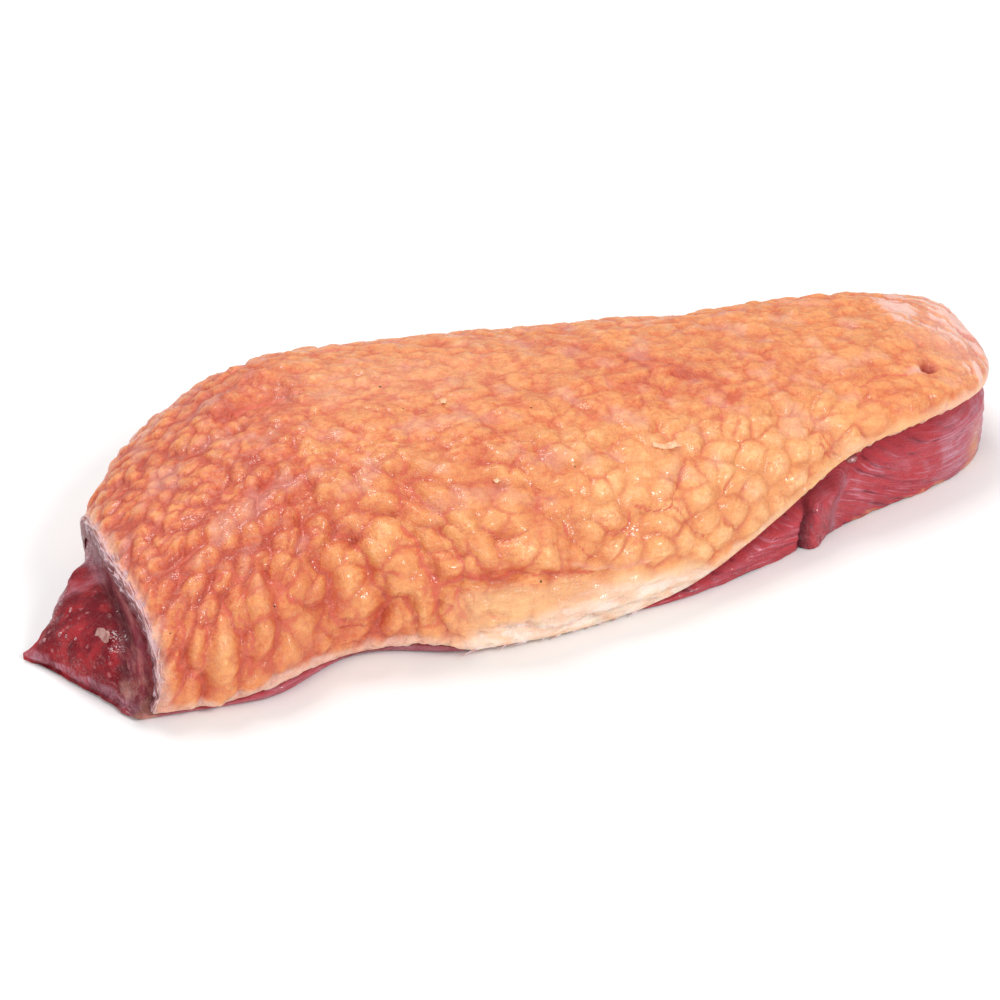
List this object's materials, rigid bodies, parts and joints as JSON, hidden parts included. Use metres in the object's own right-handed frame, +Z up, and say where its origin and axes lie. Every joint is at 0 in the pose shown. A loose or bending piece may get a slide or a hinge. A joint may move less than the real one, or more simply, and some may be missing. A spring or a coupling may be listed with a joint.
{
  "type": "smoked duck breast",
  "caption": "Whole smoked duck breast lying skin side up: a tapered slab of lean meat under lumpy skin and fat that bend over its sides and leave the pointed end bare.",
  "frame": {"origin": "under the middle of the whole piece, on the board that it lies on", "axes": "+X along the breast from the bare pointed end to the blunt end, -Y towards the side with the wavy lip, +Z up through the skin"},
  "size_m": [0.1994, 0.0888, 0.0312],
  "materials": {
    "lean_meat": "moist",
    "skin_and_fat": "semi-gloss"
  },
  "bodies": {
    "root": {"lean_meat": "lean_meat", "skin_and_fat": "skin_and_fat"}
  },
  "joints": []
}
